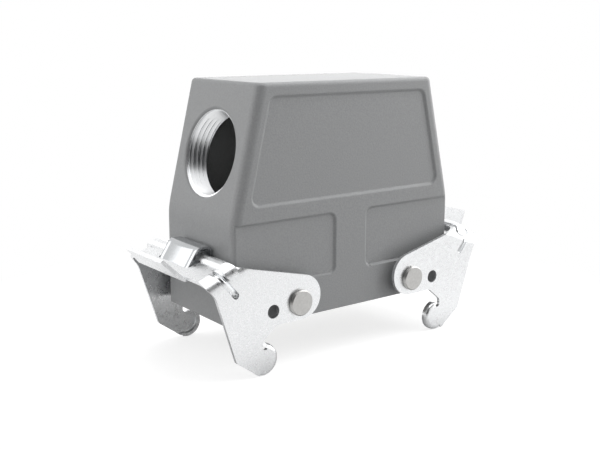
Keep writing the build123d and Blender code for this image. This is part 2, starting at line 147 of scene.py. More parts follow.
class LeverSettings(bpy.types.PropertyGroup):
    """Sizes and colours of the stamped levers, their springs and their pins."""

    zinc: colour_property("Zinc plate", "Colour of the levers' zinc plate", "#F2F3F4")
    strip: colour_property("Spring steel", "Colour of the locking springs", "#C4C6C8")
    pin: colour_property("Pin steel", "Colour of the turned pin heads", "#BFBEBC")
    edge_round: length_property("Edge rounding", "Radius of the rounding on stamped edges", 0.22)
    strap_rim: length_property("Strap rim", "Width of the raised rim round the spring's front leg", 1.3)
    strap_rim_height: length_property("Rim height", "How far that rim stands up", 0.35)
    strap_crown: length_property("Strap crown", "How far the front leg bows out in its middle", 0.6)
    strap_thickness: length_property("Strap thickness", "Thickness of the spring's strip", 0.7)
    strap_lean: length_property("Strap lean", "How far the front leg leans out over its height", 5.6)
    strap_back: length_property("Back leg", "Length of the leg between the bead and the hood", 7.7)
    strap_toe: length_property("Toe", "Length of the toe that turns back under the web", 1.7)
    strap_foot_rise: length_property("Foot rise", "Height of the foot's bend above the toe", 1.1)
    web_slope: number_property("Web slope", "How steeply the web falls away, in degrees", 21.0)
    web_crease_out: length_property("Crease, outward", "Distance of the web's crease from the pivot", 28.6)
    web_crease_up: length_property("Crease, upward", "Height of the web's crease above the pivot", 14.1)
    groove_place: length_property("Groove place", "Distance of a corner groove from the crease", 1.7)
    groove_reach: length_property("Groove reach", "Half the width of the stretch that is filled", 1.6)
    groove_depth: length_property("Groove depth", "Depth down to which a groove is filled", 1.7)
    groove_from: length_property("Filled from", "Where the filled start of a groove begins", 17.2)
    groove_to: length_property("Filled to", "Where the filled start of a groove ends", 20.6)
    pin_head_height: length_property("Pin head height", "Height of a pivot pin's head", 1.3)
    ring_step: length_property("Turning marks", "Distance between the rings turned on a pin's head", 0.75)


class InsertSettings(bpy.types.PropertyGroup):
    """Sizes and colours of the contact insert."""

    plastic: colour_property("Insert", "Colour of the moulded polycarbonate", "#B9B9B2")
    silver: colour_property("Contacts", "Colour of the silver plated contacts", "#E4E0D8")
    steel: colour_property("Screws", "Colour of the zinc plated screws", "#C9C9C7")
    columns: IntProperty(name="Columns", description="Contacts in a row", default=8, min=1)
    rows: IntProperty(name="Rows", description="Rows of contacts", default=2, min=1)
    edge_round: length_property("Edge rounding", "Radius of the rounding on moulded edges", 0.25)


class StageSettings(bpy.types.PropertyGroup):
    """The camera, the lamps and the floor."""

    floor: colour_property("Floor", "Colour of the floor under the part", "#B4B4B4")
    glow: number_property("Floor glow", "Added brightness of the floor where it is seen", 0.72)
    plain_from: length_property("Shadow reach", "Distance at which the floor's shadow starts to fade", 70)
    plain_to: length_property("Plain floor", "Distance beyond which the floor is plain white", 150)
    card_distance: length_property("Card distance", "Distance of a dark card from the part", 240)
    card_size: length_property("Card size", "Width and height of a dark card", 300)
    # Floor glow that reflections see near the part, kept low as a painted shadow under it
    painted_shadow_glow: number_property("Mirrored glow", "Added brightness of the near floor in reflections", 0.1)
    lens: number_property("Lens", "Focal length in millimetres", 53.671)
    pitch: angle_property("Pitch", "How far the camera looks down", 12.096)
    yaw: angle_property("Yaw", "How far the camera is turned to the right", 37.355)
    roll: angle_property("Roll", "How far the camera leans to its left", 0.202)
    eye: FloatVectorProperty(
        name="Camera place", description="Where the camera stands", size=3, precision=5,
        subtype="TRANSLATION", unit="LENGTH", default=(-0.19217, -0.24465, 0.10647))
    end_power: number_property("End lamp", "Power of the softbox beyond the entry end, in watts", 3.8)
    side_power: number_property("Side lamp", "Power of the softbox beyond the right end, in watts", 5.8)
    top_power: number_property("Top lamp", "Power of the softbox overhead, in watts", 6.8)
    back_power: number_property("Back lamp", "Power of the softbox behind the part, in watts", 1.2)
    sky: number_property("Room light", "Strength of the even light of the room", 0.43)


def settings(group):
    """The settings of one group, as the user left them."""
    return getattr(bpy.context.scene, "connector_" + group)


# Nodes and materials


def add_node(tree, kind, options=None, inputs=None):
    """Add a node, set its options, and fill each named input with a value or a link."""
    node = tree.nodes.new(kind)
    for key, value in (options or {}).items():
        setattr(node, key, value)
    for key, value in (inputs or {}).items():
        if isinstance(value, bpy.types.NodeSocket):
            tree.links.new(value, node.inputs[key])
        else:
            node.inputs[key].default_value = value
    return node


def calculate(tree, operation, a, b):
    """A socket with the result of one operation on two numbers or sockets."""
    return add_node(tree, "ShaderNodeMath", {"operation": operation}, {0: a, 1: b}).outputs["Value"]


def remap(tree, value, to_min, to_max, from_min=0.0, from_max=1.0):
    """A socket that takes a value from one range into another and stops at its ends."""
    return add_node(tree, "ShaderNodeMapRange", inputs={
        "Value": value, "From Min": from_min, "From Max": from_max, "To Min": to_min,
        "To Max": to_max}).outputs["Result"]


def new_material(name, base, metallic, roughness, **more):
    """A material with one Principled shader; returns the material, its tree and that shader."""
    material = bpy.data.materials.new(name)
    material.use_nodes = True
    tree = material.node_tree
    shader = tree.nodes["Principled BSDF"]
    shader.inputs["Base Color"].default_value = (*base, 1)
    shader.inputs["Metallic"].default_value = metallic
    shader.inputs["Roughness"].default_value = roughness
    for key, value in more.items():
        shader.inputs[key.replace("_", " ")].default_value = value
    return material, tree, shader


def object_noise(tree, spacing, detail=2.0):
    """Noise on Object coordinates whose lumps are about `spacing` metres apart."""
    place = add_node(tree, "ShaderNodeTexCoord")
    return add_node(tree, "ShaderNodeTexNoise", inputs={
        "Vector": place.outputs["Object"], "Scale": 1 / spacing, "Detail": detail})


def tint_by_noise(tree, shader, noise, base, low, high):
    """Vary the shader's base colour between two strengths of it, by a noise."""
    ramp = add_node(tree, "ShaderNodeValToRGB", inputs={"Fac": noise.outputs["Fac"]})
    for element, position, factor in zip(ramp.color_ramp.elements, NOISE_RANGE, (low, high)):
        element.position = position
        element.color = (*[min(1, c * factor) for c in base], 1)
    tree.links.new(ramp.outputs["Color"], shader.inputs["Base Color"])


def bump_by(tree, shader, noise, distance):
    """Raise the shader's surface by a noise, `distance` metres at most."""
    bump = add_node(tree, "ShaderNodeBump", inputs={
        "Height": noise.outputs["Fac"], "Distance": distance, "Strength": 1.0})
    tree.links.new(bump.outputs["Normal"], shader.inputs["Normal"])


def powder_coat():
    """Polyester powder coat over cast alloy: satin, with a fine orange peel and faint speckle."""
    hood = settings("hood")
    base = tuple(hood.coat)
    material, tree, shader = new_material("polyester powder coat", base, 0.0, 0.42, IOR=1.5)
    grain = object_noise(tree, hood.grain, detail=3.0)
    tint_by_noise(tree, shader, grain, base, 0.93, 1.06)
    bump_by(tree, shader, grain, 0.1 * hood.grain)
    return material


def machined_alloy():
    """Bare die-cast alloy where the thread is cut: bright, with fine turning marks."""
    base = tuple(settings("entry").metal)
    material, tree, shader = new_material("machined aluminium", base, 1.0, 0.3)
    noise = object_noise(tree, 0.6 * MM)
    bump_by(tree, shader, noise, 0.01 * MM)
    return material


def zinc_plate():
    """Bright zinc plate on cold-rolled sheet: mottled reflections and a fine dark speckle."""
    base = tuple(settings("lever").zinc)
    material, tree, shader = new_material("bright zinc plate", base, 1.0, 0.3)
    mottle = object_noise(tree, 1.3 * MM, detail=4.0)
    rough = remap(tree, mottle.outputs["Fac"], 0.22, 0.42, *NOISE_RANGE)
    tree.links.new(rough, shader.inputs["Roughness"])
    speckle = object_noise(tree, 0.5 * MM)
    tint_by_noise(tree, shader, speckle, base, 0.9, 1.04)
    bump_by(tree, shader, mottle, 0.03 * MM)
    return material


def spring_strip():
    """Cold-rolled stainless strip: smooth and bright, a little softer than a mirror."""
    base = tuple(settings("lever").strip)
    material, tree, shader = new_material("stainless spring strip", base, 1.0, 0.2)
    rolled = object_noise(tree, 1.5 * MM)
    bump_by(tree, shader, rolled, 0.01 * MM)
    return material


def turned_steel():
    """Turned steel, warm grey, its rings cut in the mesh; fine marks blur what it mirrors."""
    base = tuple(settings("lever").pin)
    material, tree, shader = new_material("turned steel", base, 1.0, 0.38)
    worn = object_noise(tree, 0.7 * MM, detail=3.0)
    tint_by_noise(tree, shader, worn, base, 0.92, 1.05)
    return material


def polycarbonate():
    """Moulded polycarbonate with a fine spark texture: matte, with a faint sheen on its edges."""
    base = tuple(settings("insert").plastic)
    material, tree, shader = new_material("moulded polycarbonate", base, 0.0, 0.5, IOR=1.58)
    spark = object_noise(tree, 0.4 * MM)
    bump_by(tree, shader, spark, 0.02 * MM)
    return material


def silver_plate():
    """Silver plate on turned brass contacts: bright and slightly warm."""
    base = tuple(settings("insert").silver)
    return new_material("silver plate", base, 1.0, 0.22)[0]


def zinc_plated_screw():
    """Zinc plated steel screws: even grey metal, softer than the sheet."""
    base = tuple(settings("insert").steel)
    return new_material("zinc plated steel", base, 1.0, 0.34)[0]


MAKERS = {
    "coat": powder_coat, "alloy": machined_alloy, "zinc": zinc_plate, "strip": spring_strip,
    "pin": turned_steel, "plastic": polycarbonate, "silver": silver_plate, "screw": zinc_plated_screw,
}
_made = {}


def material_of(name):
    """The material of that short name, made once."""
    if name not in _made:
        _made[name] = MAKERS[name]()
    return _made[name]


# Meshes


def link_object(name, data):
    """Put some data into the scene as an object at the origin."""
    thing = bpy.data.objects.new(name, data)
    bpy.context.scene.collection.objects.link(thing)
    return thing


def add_object(name, mesh, material):
    """Link a mesh as an object, with one material."""
    mesh.materials.clear()
    mesh.materials.append(material_of(material))
    return link_object(name, mesh)


def hand_over(piece, body, slot, *nodes):
    """Attach a finished piece to the body it rides on, and hide the CAD nodes that it stands for. The slot is not
    used.
    """
    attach(piece, body)
    if nodes:
        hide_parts(*nodes)


def apply_modifiers(piece):
    """Turn a piece and its modifiers into one plain mesh."""
    graph = bpy.context.evaluated_depsgraph_get()
    mesh = bpy.data.meshes.new_from_object(piece.evaluated_get(graph))
    piece.modifiers.clear()
    old = piece.data
    piece.data = mesh
    bpy.data.meshes.remove(old)


def shade(mesh, angle=32.0):
    """Smooth faces with creases at edges sharper than an angle in degrees."""
    mesh.shade_smooth()
    mesh.set_sharp_from_angle(angle=math.radians(angle))


def close_work(work, mesh, angle=32.0):
    """End a bmesh in a mesh, its faces turned outward, and shade that."""
    bmesh.ops.recalc_face_normals(work, faces=work.faces)
    work.to_mesh(mesh)
    work.free()
    shade(mesh, angle)
    return mesh


def dressed_copy(node, name, material, edge_round, segments=2, fully=None, reshape=None):
    """A copy of a CAD node with its flat faces joined up and its sharp edges rounded.

    The edges that the function 'fully' picks get the full width, the others what fits everywhere."""
    weld, sliver = 0.002 * MM, 0.001 * MM
    flat, sharp = math.radians(0.4), math.radians(28.0)
    mesh = frame["nodes"][node].data.copy()
    work = bmesh.new()
    work.from_mesh(mesh)
    bmesh.ops.remove_doubles(work, verts=work.verts, dist=weld)
    if reshape:
        reshape(work)
    bmesh.ops.dissolve_degenerate(work, edges=work.edges, dist=sliver)
    bmesh.ops.dissolve_limit(work, angle_limit=flat, verts=work.verts, edges=work.edges)
    light, full = (work.edges.layers.float.new(layer) for layer in ROUNDINGS)
    for edge in work.edges:
        if edge.calc_face_angle(0) > sharp:
            edge[full if fully and fully(edge) else light] = 1.0
    work.to_mesh(mesh)
    work.free()
    piece = add_object(name, mesh, material)
    for layer in ROUNDINGS:
        bevel = piece.modifiers.new(layer, "BEVEL")
        bevel.limit_method = "WEIGHT"
        bevel.edge_weight = layer
        bevel.width = edge_round
        bevel.segments = segments
        bevel.use_clamp_overlap = layer == ROUNDINGS[0]
    apply_modifiers(piece)
    shade(piece.data)
    weighted = piece.modifiers.new("normals", "WEIGHTED_NORMAL")
    weighted.keep_sharp = True
    apply_modifiers(piece)
    return piece


def lathe(profile, steps):
    """A solid turned about Z from (radius, height) points; one that starts off the axis is a ring."""
    work = bmesh.new()
    around = [math.tau * n / steps for n in range(steps)]
    rings = [
        [work.verts.new((radius * math.cos(angle), radius * math.sin(angle), height))
         for angle in (around if radius else around[:1])]
        for radius, height in profile]
    if len(rings[0]) > 1:
        rings.append(rings[0])
    for low, high in zip(rings, rings[1:]):
        for n in range(steps):
            m = n + 1
            corners = [low[n % len(low)], low[m % len(low)], high[m % len(high)], high[n % len(high)]]
            unique = list(dict.fromkeys(corners))
            if len(unique) > 2:
                work.faces.new(unique)
    return close_work(work, bpy.data.meshes.new("turned"))


def plane_matrix(origin, normal, across=(0, 1, 0)):
    """The placing of a part that is drawn about Z, so that Z becomes the normal."""
    up = Vector(normal).normalized()
    side = (Vector(across) - up * up.dot(Vector(across))).normalized()
    matrix = Matrix((side, up.cross(side), up)).transposed().to_4x4()
    matrix.translation = origin
    return matrix


def trim_mesh(mesh, bottom, top):
    """Cut a mesh off flat below one height and above another, and close the cuts."""
    work = bmesh.new()
    work.from_mesh(mesh)
    for height, normal in ((bottom, -1), (top, 1)):
        cut = bmesh.ops.bisect_plane(
            work, geom=[*work.verts, *work.edges, *work.faces], plane_co=(0, 0, height),
            plane_no=(0, 0, normal), clear_outer=True)["geom_cut"]
        edges = [e for e in cut if isinstance(e, bmesh.types.BMEdge)]
        bmesh.ops.holes_fill(work, edges=edges, sides=0)
    close_work(work, mesh)


# Geometry node trees


def new_tree(name, inputs):
    """A geometry node tree with named inputs; returns it with its input and output nodes."""
    tree = bpy.data.node_groups.new(name, "GeometryNodeTree")
    tree.interface.new_socket("Geometry", in_out="OUTPUT", socket_type="NodeSocketGeometry")
    for label, kind, value in inputs:
        socket = tree.interface.new_socket(label, in_out="INPUT", socket_type="NodeSocket" + kind)
        if value is not None:
            socket.default_value = value
    return tree, add_node(tree, "NodeGroupInput"), add_node(tree, "NodeGroupOutput")


def finish_tree(tree, given, out, geometry):
    """End a tree in real meshes that carry its material."""
    real = add_node(tree, "GeometryNodeRealizeInstances", inputs={"Geometry": geometry})
    coated = add_node(tree, "GeometryNodeSetMaterial", inputs={
        "Geometry": real.outputs["Geometry"], "Material": given.outputs["Material"]})
    tree.links.new(coated.outputs["Geometry"], out.inputs["Geometry"])


def run_tree(tree, name, material, values):
    """Run a tree on an empty mesh with the given inputs and keep the plain result."""
    piece = add_object(name, bpy.data.meshes.new(name), material)
    modifier = piece.modifiers.new(tree.name, "NODES")
    modifier.node_group = tree
    values = dict(values, Material=material_of(material))
    for item in tree.interface.items_tree:
        if item.in_out == "INPUT" and item.name in values:
            modifier[item.identifier] = values[item.name]
    apply_modifiers(piece)
    shade(piece.data)
    return piece


def thread_tree():
    """A helical ridge about Z, cut as a diamond whose outer half is buried in the wall."""
    tree, given, out = new_tree("thread ridge", [
        ("Bore Radius", "Float", 0.014), ("Pitch", "Float", 0.0015), ("Turns", "Float", 5.0),
        ("Ridge Height", "Float", 0.0008), ("Material", "Material", None)])
    rise = calculate(tree, "MULTIPLY", given.outputs["Pitch"], given.outputs["Turns"])
    helix = add_node(tree, "GeometryNodeCurveSpiral", inputs={
        "Resolution": 96, "Rotations": given.outputs["Turns"], "Start Radius": given.outputs["Bore Radius"],
        "End Radius": given.outputs["Bore Radius"], "Height": rise})
    level = add_node(tree, "GeometryNodeSetCurveNormal", {"mode": "Z_UP"}, {
        "Curve": helix.outputs["Curve"]})
    diamond = add_node(tree, "GeometryNodeCurvePrimitiveCircle", inputs={
        "Resolution": 4, "Radius": given.outputs["Ridge Height"]})
    ridge = add_node(tree, "GeometryNodeCurveToMesh", inputs={
        "Curve": level.outputs["Curve"], "Profile Curve": diamond.outputs["Curve"], "Fill Caps": True})
    finish_tree(tree, given, out, ridge.outputs["Mesh"])
    return tree


def grid_tree():
    """Copies of one part on a grid, each turned about Z to face away from the middle if asked."""
    tree, given, out = new_tree("grid of parts", [
        ("Part", "Object", None), ("Columns", "Int", 2), ("Rows", "Int", 2),
        ("Column Pitch", "Float", 0.01), ("Row Pitch", "Float", 0.01),
        ("Face Outwards", "Bool", False), ("Material", "Material", None)])

    def span(count, pitch):
        """The length of a row: its count less one, times its pitch."""
        gaps = calculate(tree, "SUBTRACT", given.outputs[count], 1.0)
        return calculate(tree, "MULTIPLY", gaps, given.outputs[pitch])

    grid = add_node(tree, "GeometryNodeMeshGrid", inputs={
        "Size X": span("Columns", "Column Pitch"), "Size Y": span("Rows", "Row Pitch"),
        "Vertices X": given.outputs["Columns"], "Vertices Y": given.outputs["Rows"]})
    place = add_node(tree, "GeometryNodeInputPosition")
    parts = add_node(tree, "ShaderNodeSeparateXYZ", inputs={"Vector": place.outputs["Position"]})
    front = add_node(tree, "FunctionNodeCompare", {"data_type": "FLOAT", "operation": "LESS_THAN"}, {
        "A": parts.outputs["Y"], "B": 0.0})
    turned = add_node(tree, "FunctionNodeBooleanMath", {"operation": "AND"}, {
        0: front.outputs["Result"], 1: given.outputs["Face Outwards"]})
    angle = calculate(tree, "MULTIPLY", turned.outputs["Boolean"], math.pi)
    turn = add_node(tree, "ShaderNodeCombineXYZ", inputs={"Z": angle})
    part = add_node(tree, "GeometryNodeObjectInfo", inputs={"Object": given.outputs["Part"]})
    copies = add_node(tree, "GeometryNodeInstanceOnPoints", inputs={
        "Points": grid.outputs["Mesh"], "Instance": part.outputs["Geometry"],
        "Rotation": turn.outputs["Vector"]})
    finish_tree(tree, given, out, copies.outputs["Instances"])
    return tree


def grid_of(name, part_mesh, material, columns, rows, column_pitch, row_pitch, outwards=False):
    """Set copies of a part mesh on a grid about the part's middle, as one mesh."""
    part = add_object(name + "_part", part_mesh, material)
    piece = run_tree(grid_tree(), name, material, {
        "Part": part, "Columns": columns, "Rows": rows, "Column Pitch": column_pitch,
        "Row Pitch": row_pitch, "Face Outwards": outwards})
    bpy.data.objects.remove(part)
    return piece


# The pieces


def entry_place():
    """The placing of the cable entry, with Z out of its mouth, and the radius of its bore."""
    axis = Vector(entry_mount["axis"]).normalized()
    half = entry_mount["dims"]["length_mm"] * MM / 2
    mouth = Vector(entry_mount["pos_m"]) + axis * (half + settings("entry").chamfer)
    return plane_matrix(mouth, axis), entry_mount["dims"]["r_mm"] * MM


def hood_edge(edge):
    """Whether an edge of the hood has its full rounding: high up, or between the lower panels."""
    hood = settings("hood")
    places = [vertex.co for vertex in edge.verts]
    if max(place.z for place in places) > hood.rounded_above:
        return True
    return all(
        place.z > hood.panel_foot and abs(place.x) < hood.rounded_within
        and abs(place.y) > hood.panel_side for place in places)


class CONNECTOR_OT_hood(bpy.types.Operator):
    """Make the cast hood"""

    bl_idname = "connector.hood"
    bl_label = "Cast hood"

    def execute(self, context):
        hood = settings("hood")
        piece = dressed_copy(
            "hood_housing", "cast_hood", "coat", hood.edge_round, segments=3, fully=hood_edge)
        hand_over(piece, HOOD_BODY, "coated_housing", "hood_housing")
        return {"FINISHED"}


class CONNECTOR_OT_entry(bpy.types.Operator):
    """Cut the bare metal thread of the cable entry"""

    bl_idname = "connector.entry"
    bl_label = "Cable entry thread"

    def execute(self, context):
        entry = settings("entry")
        matrix, bore = entry_place()
        depth = entry_mount["dims"]["length_mm"] * MM + entry.chamfer
        skin = 0.02 * MM
        liner = lathe([
            (bore + entry.chamfer - entry.lip - skin, -entry.lip), (bore - skin, -entry.chamfer - skin),
            (bore - skin, -depth), (bore + entry.liner, -depth), (bore + entry.liner, -entry.chamfer)], 128)
        liner_piece = add_object("entry_bore", liner, "alloy")
        liner_piece.data.transform(matrix)
        hand_over(liner_piece, HOOD_BODY, "plated_lever")
        turns = math.ceil(depth / entry.pitch) + 1
        ridge = run_tree(thread_tree(), "entry_thread", "alloy", {
            "Bore Radius": bore, "Pitch": entry.pitch, "Turns": turns, "Ridge Height": entry.ridge})
        ridge.data.transform(Matrix.Translation((0, 0, -entry.pitch * (turns - 0.5))))
        trim_mesh(ridge.data, -depth, -entry.lead_in)
        ridge.data.transform(matrix)
        hand_over(ridge, HOOD_BODY, "plated_lever")
        return {"FINISHED"}


def close_groove(work):
    """Fill the flat start of the two corner grooves, so that they begin where the web bends down."""
    lever = settings("lever")
    slope = math.radians(lever.web_slope)
    pivot = pivots["right_lever"]
    crease = Vector((abs(pivot.x) + lever.web_crease_out, pivot.z + lever.web_crease_up))
    flush = 0.005 * MM
    work.normal_update()
    for vertex in work.verts:
        x, y, z = abs(vertex.co.x), abs(vertex.co.y), vertex.co.z
        depth = (crease.y - (x - crease.x) * math.tan(slope) - z) * math.cos(slope)
        near = abs(x - crease.x - lever.groove_place) < lever.groove_reach
        inside = lever.groove_from < y < lever.groove_to and flush < depth < lever.groove_depth
        if near and inside and vertex.normal.z > 0:
            vertex.co.z = z + depth / math.cos(slope)


class CONNECTOR_OT_levers(bpy.types.Operator):
    """Make the two stamped locking levers"""

    bl_idname = "connector.levers"
    bl_label = "Locking levers"

    def execute(self, context):
        for end in ENDS:
            piece = dressed_copy(
                "lever_" + end, "locking_lever_" + end, "zinc", settings("lever").edge_round,
                reshape=close_groove)
            hand_over(piece, end + "_lever", "plated_lever", "lever_" + end)
        return {"FINISHED"}


def rounded_path(corners, radii, steps=8):
    """Points along a bent line, its inner corners turned into arcs of the given radii."""
    points = [Vector(corners[0])]
    for before, corner, after, radius in zip(corners, corners[1:], corners[2:], radii):
        corner = Vector(corner)
        back, ahead = (Vector(before) - corner).normalized(), (Vector(after) - corner).normalized()
        half = back.angle(ahead) / 2
        middle = corner + (back + ahead).normalized() * radius / math.sin(half)
        first = corner + back * radius / math.tan(half) - middle
        last = corner + ahead * radius / math.tan(half) - middle
        sweep = first.angle_signed(last)
        for n in range(steps + 1):
            turned = first.copy()
            turned.rotate(Matrix.Rotation(-sweep * n / steps, 2))
            points.append(middle + turned)
    return points + [Vector(corners[-1])]


def split_path(points, spacing):
    """The same line with no stretch longer than a spacing."""
    fine = [points[0]]
    for a, b in zip(points, points[1:]):
        count = max(1, math.ceil((b - a).length / spacing))
        fine += [a.lerp(b, n / count) for n in range(1, count + 1)]
    return fine


def bump_step(distance, width):
    """A smooth step from 0 at the edge to 1 at a width from it."""
    t = min(1, max(0, distance / width))
    return t * t * (3 - 2 * t)


def strap_mesh(lever, node, sign):
    """A strap spring: a strip bent over the bead, its front leg bowed out inside a raised rim."""
    low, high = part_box(node)
    thick, half_width = lever.strap_thickness, (high.y - low.y) / 2
    near = (low.x if sign > 0 else -high.x) + thick / 2
    far = (high.x if sign > 0 else -low.x) - thick / 2
    crest, toe = high.z - thick / 2, low.z + thick / 2
    foot = Vector((far, toe + lever.strap_foot_rise))
    knee = Vector((foot.x - lever.strap_lean, crest))
    corners = [(near, crest - lever.strap_back), (near, crest), knee, foot, (foot.x - lever.strap_toe, toe)]
    bends, spacing, across = (1.2 * MM, 1.2 * MM, 0.8 * MM), 0.35 * MM, 40
    path = split_path(rounded_path(corners, bends), spacing)
    leg = (foot - knee).normalized()
    length = (foot - knee).length
    border = lever.strap_rim
    work = bmesh.new()
    faces = []
    for k, point in enumerate(path):
        before, after = path[max(0, k - 1)], path[min(len(path) - 1, k + 1)]
        along = (after - before).normalized()
        out = Vector((-along.y, along.x))
        down = (point - knee).dot(leg)
        rows = ([], [])
        for n in range(across + 1):
            y = half_width * (2 * n / across - 1)
            edge = min(half_width - abs(y), length - down - lever.strap_foot_rise)
            start, inner = bump_step(down, border), bump_step(edge - border, border / 2)
            rim = max(0, bump_step(edge, border / 3) - inner) * start
            bow = lever.strap_crown * start * inner * (1 - (y / half_width) ** 2)
            shift = out * (lever.strap_rim_height * rim + bow)
            for row, side in zip(rows, (thick / 2, -thick / 2)):
                place = point + shift + out * side
                row.append(work.verts.new((sign * place.x, y, place.y)))
        faces.append(rows)
    for (a, b), (c, d) in zip(faces, faces[1:]):
        for n in range(across):
            work.faces.new((a[n], a[n + 1], c[n + 1], c[n]))
            work.faces.new((b[n + 1], b[n], d[n], d[n + 1]))
        for n in (0, across):
            work.faces.new((a[n], c[n], d[n], b[n]))
    for a, b in (faces[0], faces[-1]):
        for n in range(across):
            work.faces.new((a[n], a[n + 1], b[n + 1], b[n]))
    return close_work(work, bpy.data.meshes.new("strap"), angle=50.0)


class CONNECTOR_OT_springs(bpy.types.Operator):
    """Make the strap springs that ride on the levers"""

    bl_idname = "connector.springs"
    bl_label = "Locking springs"

    def execute(self, context):
        for end, sign in ENDS.items():
            mesh = strap_mesh(settings("lever"), "locking_spring_" + end, sign)
            piece = add_object("strap_spring_" + end, mesh, "strip")
            hand_over(piece, end + "_lever", "spring_steel", "locking_spring_" + end)
        return {"FINISHED"}


def pin_profile(lever):
    """Half the section of a pin's head and shank, from its riveted end to its turned face."""
    low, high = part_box("pivot_pin_back_right")
    length, head = high.y - low.y, (high.x - low.x) / 2
    chamfer, dip = 0.4 * MM, 0.05 * MM
    shank, rivet = 2.5 * MM, 3.2 * MM
    head_height, rivet_height = lever.pin_head_height, 0.7 * MM
    rings = []
    radius = head - chamfer
    while radius > lever.ring_step:
        rings += [(radius, length), (radius - lever.ring_step / 2, length - dip)]
        radius -= lever.ring_step
    return [
        (0, 0), (rivet - chamfer, 0), (rivet, chamfer), (rivet, rivet_height), (shank, rivet_height),
        (shank, length - head_height), (head - dip, length - head_height),
        (head, length - head_height + dip), (head, length - chamfer), *rings, (0, length - dip)]


class CONNECTOR_OT_pins(bpy.types.Operator):
    """Turn the four pivot pins"""

    bl_idname = "connector.pins"
    bl_label = "Pivot pins"

    def execute(self, context):
        lever = settings("lever")
        for side, sign in SIDES.items():
            for end in ENDS:
                node = f"pivot_pin_{side}_{end}"
                low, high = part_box(node)
                inner_y = low.y if sign > 0 else high.y
                middle = (low + high) / 2
                mesh = lathe(pin_profile(lever), 72)
                mesh.transform(plane_matrix((middle.x, inner_y, middle.z), (0, sign, 0), (1, 0, 0)))
                piece = add_object(f"turned_pin_{side}_{end}", mesh, "pin")
                hand_over(piece, HOOD_BODY, "pin_steel", node)
        return {"FINISHED"}


class CONNECTOR_OT_insert(bpy.types.Operator):
    """Make the moulded insert and its earth plates"""

    bl_idname = "connector.insert"
    bl_label = "Contact insert"

    def execute(self, context):
        insert = settings("insert")
        piece = dressed_copy("insert_body", "moulded_insert", "plastic", insert.edge_round)
        hand_over(piece, HOOD_BODY, "insert_plastic", "insert_body")
        for end in ENDS:
            plate = dressed_copy("earth_plate_" + end, "earthing_plate_" + end, "strip", 0.2 * MM)
            hand_over(plate, HOOD_BODY, "spring_steel", "earth_plate_" + end)
            screw = dressed_copy("earth_screw_" + end, "earthing_screw_" + end, "screw", 0.15 * MM)
            hand_over(screw, HOOD_BODY, "screw_steel", "earth_screw_" + end)
        return {"FINISHED"}


def contact_profile(low, high, radius, shoulder, shoulder_z):
    """Half the section of a contact: round nose, pin, shoulder and hollow wire barrel."""
    nose = [(radius * math.sin(a), low + radius * (1 - math.cos(a)))
            for a in (math.pi / 2 * n / 5 for n in range(6))]
    rim, barrel, drill_tip = 0.15 * MM, 5.5 * MM, 6.2 * MM
    return nose + [
        (radius, shoulder_z - rim), (radius, shoulder_z), (shoulder - rim, shoulder_z),
        (shoulder, shoulder_z + rim), (shoulder, high - rim), (shoulder - rim, high),
        (radius + rim, high), (radius, high - rim), (radius, high - barrel), (0, high - drill_tip)]


class CONNECTOR_OT_contacts(bpy.types.Operator):
    """Set the contacts and their terminal screws in the insert"""

    bl_idname = "connector.contacts"
    bl_label = "Contacts and terminal screws"

    def execute(self, context):
        insert = settings("insert")
        low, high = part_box("contact_pins")
        radius, shoulder, rise = 1.25 * MM, 1.9 * MM, 14.5 * MM
        column_pitch = (high.x - low.x - 2 * shoulder) / (insert.columns - 1)
        row_pitch = (high.y - low.y - 2 * shoulder) / (insert.rows - 1)
        shoulder_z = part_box("insert_body")[0].z + rise
        contact = lathe(contact_profile(low.z, high.z, radius, shoulder, shoulder_z), 32)
        piece = grid_of("contacts", contact, "silver", insert.columns, insert.rows, column_pitch, row_pitch)
        hand_over(piece, HOOD_BODY, "contact_plating", "contact_pins")
        self.terminal_screws(insert, column_pitch, row_pitch)
        return {"FINISHED"}

    def terminal_screws(self, insert, column_pitch, row_pitch):
        """The slotted screws that clamp the wires, facing out through the block's long sides."""
        low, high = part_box("terminal_screws")
        middle = (low + high) / 2
        head, height, shank, edge = 1.9 * MM, 1.3 * MM, 1.4 * MM, 0.15 * MM
        clear_of_wire = 2.0 * MM
        tip = row_pitch / 2 + clear_of_wire
        mesh = lathe([
            (0, tip), (shank, tip), (shank, high.y - height), (head, high.y - height),
            (head, high.y - edge), (head - edge, high.y), (0, high.y)], 32)
        cut_slots(mesh, high.y, head, width=0.5 * MM, depth=0.45 * MM)
        mesh.transform(Matrix.Translation((0, -row_pitch / 2, 0)) @ Matrix.Rotation(-math.pi / 2, 4, "X"))
        piece = grid_of(
            "terminal_screw_set", mesh, "screw", insert.columns, insert.rows, column_pitch, row_pitch, True)
        piece.data.transform(Matrix.Translation((0, 0, middle.z)))
        hand_over(piece, HOOD_BODY, "screw_steel", "terminal_screws")


def cut_slots(mesh, top, reach, width, depth, crossed=False):
    """Cut a driver slot, or a cross, in the top face of a turned head that is drawn about Z."""
    body = link_object("slotted", mesh)
    length = 2.4 * reach
    cutters = []
    for turn in (0, math.pi / 2) if crossed else (0,):
        work = bmesh.new()
        bmesh.ops.create_cube(work, size=1.0)
        blade = bpy.data.meshes.new("blade")
        work.to_mesh(blade)
        work.free()
        blade.transform(
            Matrix.Translation((0, 0, top)) @ Matrix.Rotation(turn, 4, "Z")
            @ Matrix.Diagonal((length, width, 2 * depth, 1)))
        cutters.append(link_object("blade", blade))
        cut = body.modifiers.new("slot", "BOOLEAN")
        cut.object = cutters[-1]
        cut.solver = "EXACT"
    graph = bpy.context.evaluated_depsgraph_get()
    result = bpy.data.meshes.new_from_object(body.evaluated_get(graph))
    work = bmesh.new()
    work.from_mesh(result)
    work.to_mesh(mesh)
    work.free()
    for used in [body, *cutters]:
        bpy.data.objects.remove(used)
    shade(mesh)


